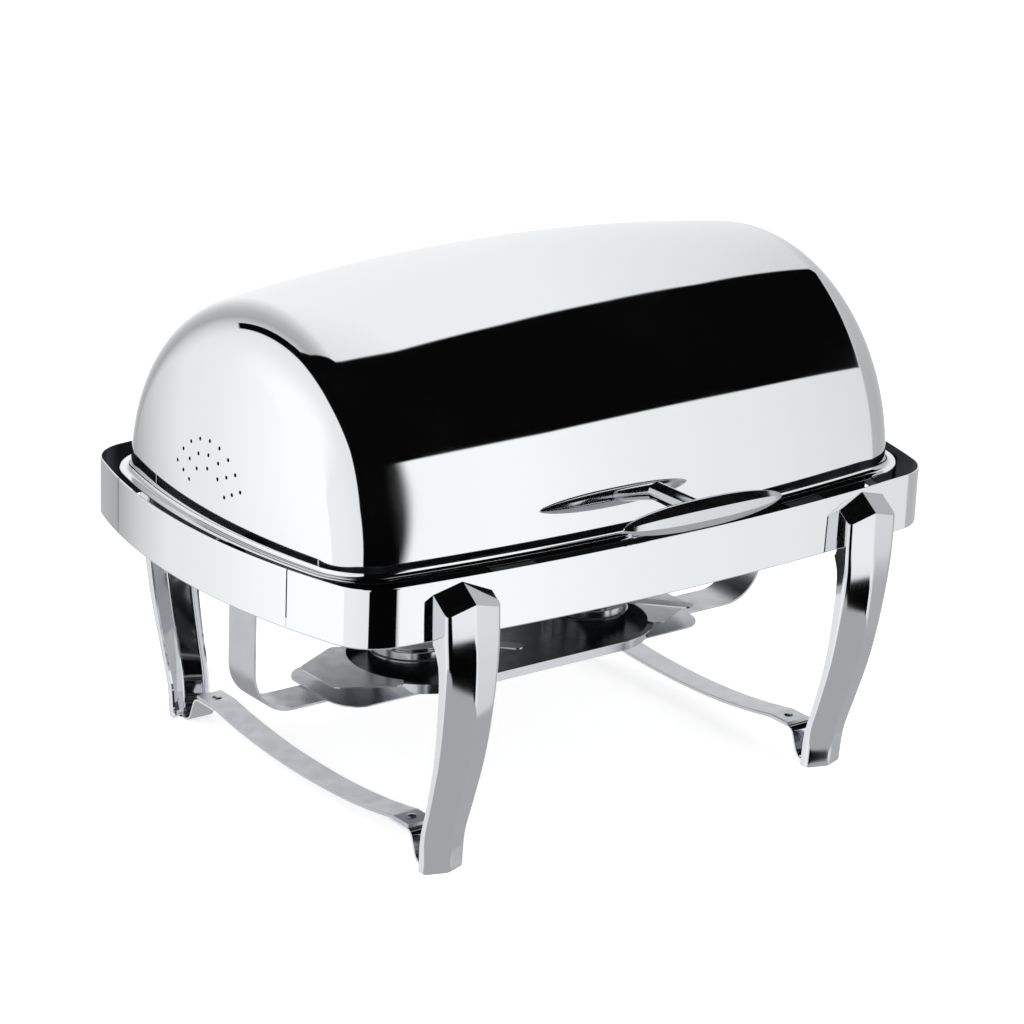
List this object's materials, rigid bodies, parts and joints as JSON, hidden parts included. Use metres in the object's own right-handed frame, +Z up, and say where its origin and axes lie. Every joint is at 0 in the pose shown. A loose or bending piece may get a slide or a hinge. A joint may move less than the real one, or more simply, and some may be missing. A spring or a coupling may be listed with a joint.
{
  "type": "roll top chafer",
  "caption": "Long food warmer with a half-barrel lid that turns back, bowed skirt band, V-section legs, pans, and a strap-hung burner tray.",
  "frame": {"origin": "middle of the bounding box on the plane the feet stand on", "axes": "+X along the length to the right, -Y towards the handle side, +Z up"},
  "size_m": [0.65, 0.4864, 0.4424],
  "materials": {
    "mirror_steel": "mirror polished 18/10 stainless steel",
    "leg_steel": "polished stainless steel",
    "handle_steel": "polished cast stainless steel",
    "pressed_steel": "bright pressed stainless steel",
    "satin_steel": "satin stainless strip",
    "fastener_steel": "turned stainless steel"
  },
  "bodies": {
    "body": {"burner_strap": "satin_steel", "cross_bar_left": "satin_steel", "cross_bar_right": "satin_steel", "cross_bar_rivets": "fastener_steel", "end_bracket_left": "satin_steel", "end_bracket_right": "satin_steel", "front_bracket_left": "satin_steel", "front_bracket_right": "satin_steel", "leg_back_left": "leg_steel", "leg_back_right": "leg_steel", "leg_front_left": "leg_steel", "leg_front_right": "leg_steel", "leg_mount_blocks": "satin_steel", "leg_screws": "fastener_steel", "pan_frame": "satin_steel", "pivot_lug_left": "satin_steel", "pivot_lug_right": "satin_steel", "pivot_pin_left": "fastener_steel", "pivot_pin_right": "fastener_steel", "skirt_back": "mirror_steel", "skirt_end_left": "mirror_steel", "skirt_end_right": "mirror_steel", "skirt_front": "mirror_steel", "skirt_splice_plates": "satin_steel", "strap_rivets": "fastener_steel"},
    "lid": {"lid_handle_bar": "handle_steel", "lid_handle_post": "handle_steel", "lid_handle_screws": "fastener_steel", "lid_pivot_plate_left": "satin_steel", "lid_pivot_plate_right": "satin_steel", "lid_shell": "mirror_steel"},
    "water_pan": {"water_pan": "pressed_steel"},
    "food_pan_left": {"food_pan_left": "pressed_steel"},
    "food_pan_right": {"food_pan_right": "pressed_steel"},
    "tray": {"burner_tray": "pressed_steel", "tray_wing_left": "satin_steel", "tray_wing_right": "satin_steel", "tray_handle_left": "satin_steel", "tray_handle_right": "satin_steel"},
    "cup_left": {"burner_cup_left": "pressed_steel", "damper_post_left": "fastener_steel"},
    "cup_right": {"burner_cup_right": "pressed_steel", "damper_post_right": "fastener_steel"},
    "damper_left": {"damper_left": "pressed_steel"},
    "damper_right": {"damper_right": "pressed_steel"}
  },
  "joints": [
    {"name": "lid_hinge", "type": "hinge", "parent": "body", "child": "lid", "pos_m": [0, 0.01225, 0.2506], "axis": [-1, 0, 0], "range_deg": [0, 80]},
    {"name": "water_pan_lift", "type": "slide", "parent": "body", "child": "water_pan", "axis": [0, 0, 1], "range_m": [0, 0.01]},
    {"name": "food_pan_left_lift", "type": "slide", "parent": "water_pan", "child": "food_pan_left", "axis": [0, 0, 1], "range_m": [0, 0.02]},
    {"name": "food_pan_right_lift", "type": "slide", "parent": "water_pan", "child": "food_pan_right", "axis": [0, 0, 1], "range_m": [0, 0.02]},
    {"name": "tray_slide", "type": "slide", "parent": "body", "child": "tray", "axis": [1, 0, 0], "range_m": [-0.022, 0.038]},
    {"name": "cup_left_lift", "type": "slide", "parent": "tray", "child": "cup_left", "axis": [0, 0, 1], "range_m": [0, 0.03]},
    {"name": "cup_right_lift", "type": "slide", "parent": "tray", "child": "cup_right", "axis": [0, 0, 1], "range_m": [0, 0.03]},
    {"name": "damper_left_swing", "type": "hinge", "parent": "cup_left", "child": "damper_left", "pos_m": [-0.12334, 0.03509, 0.1136], "axis": [0, 0, 1], "range_deg": [0, 60]},
    {"name": "damper_right_swing", "type": "hinge", "parent": "cup_right", "child": "damper_right", "pos_m": [0.06166, 0.03509, 0.1136], "axis": [0, 0, 1], "range_deg": [0, 60]}
  ]
}
